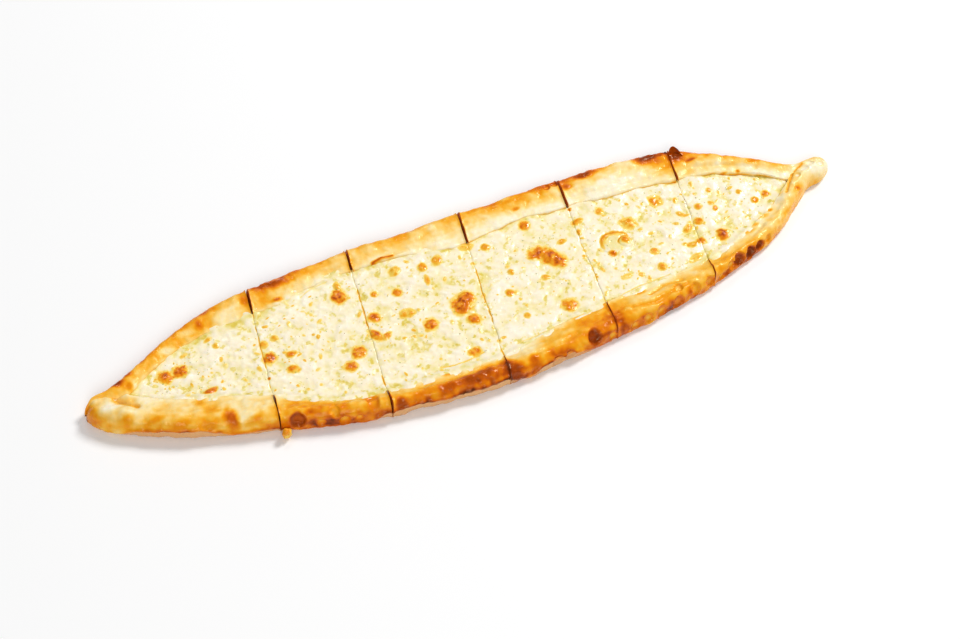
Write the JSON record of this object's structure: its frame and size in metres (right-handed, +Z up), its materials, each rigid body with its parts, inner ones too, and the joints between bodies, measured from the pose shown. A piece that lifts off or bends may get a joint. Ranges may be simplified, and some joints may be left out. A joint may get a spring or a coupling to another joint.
{
  "type": "turkish pide",
  "caption": "Long boat-shaped flatbread with folded glossy sides and twisted ends round a baked melted-cheese filling, cut crosswise into slices that lie together.",
  "frame": {"origin": "centre of the bounding box's underside, on the surface the pide lies on", "axes": "+X along the length towards the slim twisted end, +Y towards the side with the broad flat fold, +Z up"},
  "size_m": [0.549, 0.1438, 0.0169],
  "materials": {
    "crust": "baked wheat dough, egg-washed, golden to dark brown, satin to glossy",
    "cheese": "melted white cheese with toasted spots, moist and unevenly glossy"
  },
  "bodies": {
    "root": {"dough_1": "crust", "dough_2": "crust", "dough_3": "crust", "dough_4": "crust", "dough_5": "crust", "dough_6": "crust", "cheese_1": "cheese", "cheese_2": "cheese", "cheese_3": "cheese", "cheese_4": "cheese", "cheese_5": "cheese", "cheese_6": "cheese", "cheese_drip": "cheese"}
  },
  "joints": []
}
